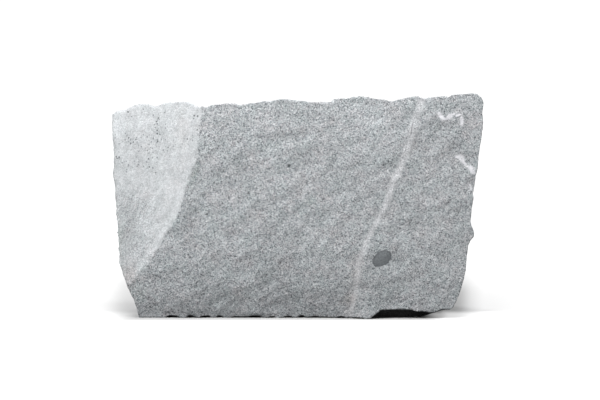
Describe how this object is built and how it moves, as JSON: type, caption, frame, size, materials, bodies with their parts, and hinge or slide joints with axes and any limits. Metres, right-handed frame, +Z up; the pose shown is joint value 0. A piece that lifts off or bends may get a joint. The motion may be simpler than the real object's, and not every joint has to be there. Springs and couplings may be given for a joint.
{
  "type": "granite block",
  "caption": "Rough split block of grey granite that stands on its flat underside, longer than it is high or deep, with a hollow fracture scar at the front left.",
  "frame": {"origin": "middle of the block's bounding box, at the height of the ground that it stands on", "axes": "+X along the long front face, to the right seen from the front; -Y out of the front face; +Z up"},
  "size_m": [1.2418, 0.603, 0.7331],
  "materials": {
    "granite": "rough split, dry, unpolished"
  },
  "bodies": {
    "root": {"granite_block": "granite"}
  },
  "joints": []
}
